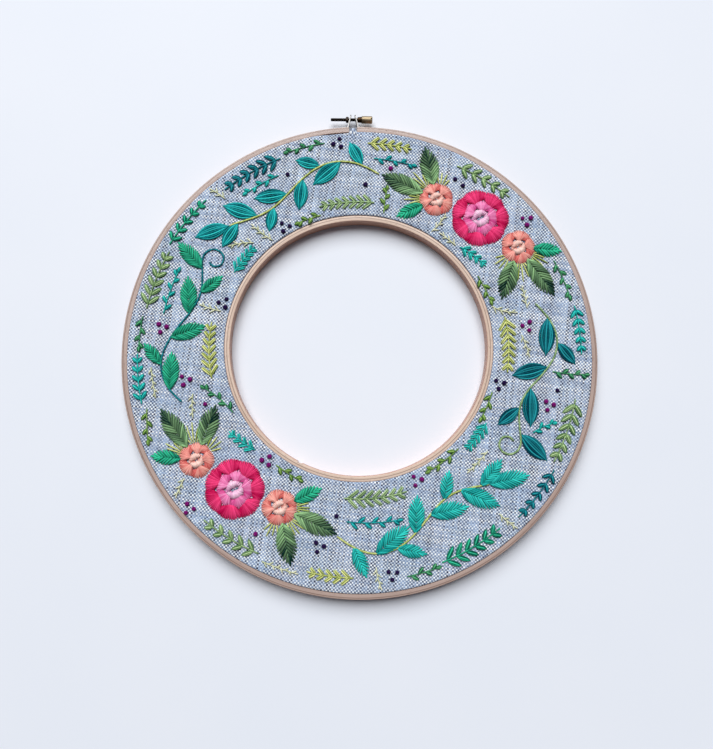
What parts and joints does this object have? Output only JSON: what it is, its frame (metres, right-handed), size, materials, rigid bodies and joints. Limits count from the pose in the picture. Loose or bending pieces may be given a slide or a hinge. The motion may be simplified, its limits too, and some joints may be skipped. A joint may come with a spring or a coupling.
{
  "type": "hoop embroidery held between a large wooden hoop and a small open hoop",
  "caption": "Ring of chambray cloth held between a large wooden embroidery hoop and a small open hoop, with a stitched garland of blossoms, leaves and ferns. Lies on its back.",
  "frame": {"origin": "centre of the bounding box's base, on the surface that the two hoops lie on", "axes": "+Z out of the face of the embroidery, +Y across the face towards the screw, +X to the right"},
  "size_m": [0.3144, 0.3247, 0.0131],
  "materials": {
    "rim_wood": "smooth bare beech, slightly darkened",
    "small_wood": "smooth bare beech",
    "plain_wood": "smooth bare beech",
    "cloth": "blue and white chambray, plain weave",
    "steel": "plain bright steel",
    "brass": "turned, slightly dulled",
    "thread_teal": "stranded cotton embroidery thread, soft sheen",
    "thread_turquoise": "stranded cotton embroidery thread, soft sheen",
    "thread_deep_teal": "stranded cotton embroidery thread, soft sheen",
    "thread_green": "stranded cotton embroidery thread, soft sheen",
    "thread_forest": "stranded cotton embroidery thread, soft sheen",
    "thread_sage": "stranded cotton embroidery thread, soft sheen",
    "thread_lime": "stranded cotton embroidery thread, soft sheen",
    "thread_crimson": "stranded cotton embroidery thread, soft sheen",
    "thread_pink": "stranded cotton embroidery thread, soft sheen",
    "thread_pale_pink": "stranded cotton embroidery thread, soft sheen",
    "thread_coral": "stranded cotton embroidery thread, soft sheen",
    "thread_pale_coral": "stranded cotton embroidery thread, soft sheen"
  },
  "bodies": {
    "hoop": {"split_ring": "rim_wood", "inner_ring": "plain_wood", "small_ring": "small_wood", "small_clamp_ring": "plain_wood", "cloth": "cloth", "left_lug": "steel", "right_lug": "steel", "screw_nut": "steel", "upper_bloom_outer_petals": "thread_crimson", "upper_bloom_inner_petals": "thread_pink", "upper_bloom_heart": "thread_pale_pink", "upper_bud_one_petals": "thread_coral", "upper_bud_one_heart": "thread_pale_coral", "upper_bud_two_petals": "thread_coral", "upper_bud_two_heart": "thread_pale_coral", "upper_leaf_one": "thread_forest", "upper_leaf_two": "thread_forest", "upper_leaf_three": "thread_green", "upper_leaf_four": "thread_forest", "upper_leaf_five": "thread_forest", "upper_leaf_six": "thread_green", "lower_bloom_outer_petals": "thread_crimson", "lower_bloom_inner_petals": "thread_pink", "lower_bloom_heart": "thread_pale_pink", "lower_bud_one_petals": "thread_coral", "lower_bud_one_heart": "thread_pale_coral", "lower_bud_two_petals": "thread_coral", "lower_bud_two_heart": "thread_pale_coral", "lower_leaf_one": "thread_forest", "lower_leaf_two": "thread_forest", "lower_leaf_three": "thread_green", "lower_leaf_four": "thread_forest", "lower_leaf_five": "thread_forest", "lower_leaf_six": "thread_green", "top_vine": "thread_teal", "left_vine": "thread_green", "bottom_vine": "thread_turquoise", "right_vine": "thread_deep_teal", "top_fern": "thread_sage", "top_sprig": "thread_deep_teal", "left_fern": "thread_lime", "left_sprig": "thread_sage", "bottom_fern": "thread_sage", "bottom_sprig": "thread_green", "right_fern": "thread_lime", "right_sprig": "thread_sage", "top_outer_fern": "thread_lime", "left_outer_sprig": "thread_turquoise", "left_corner_sprig": "thread_green", "left_corner_fern": "thread_turquoise", "bottom_outer_fern": "thread_lime", "right_outer_sprig": "thread_turquoise", "right_corner_sprig": "thread_deep_teal", "right_corner_fern": "thread_turquoise", "upper_outer_sprig": "thread_sage", "upper_inner_fern": "thread_turquoise", "lower_outer_sprig": "thread_sage", "lower_inner_fern": "thread_turquoise"},
    "screw": {"screw_rod": "steel", "screw_head": "brass"}
  },
  "joints": [
    {"name": "screw_turn", "type": "hinge", "parent": "hoop", "child": "screw", "pos_m": [-0.005, 0.15945, 0.005], "axis": [1, 0, 0], "continuous": true}
  ]
}
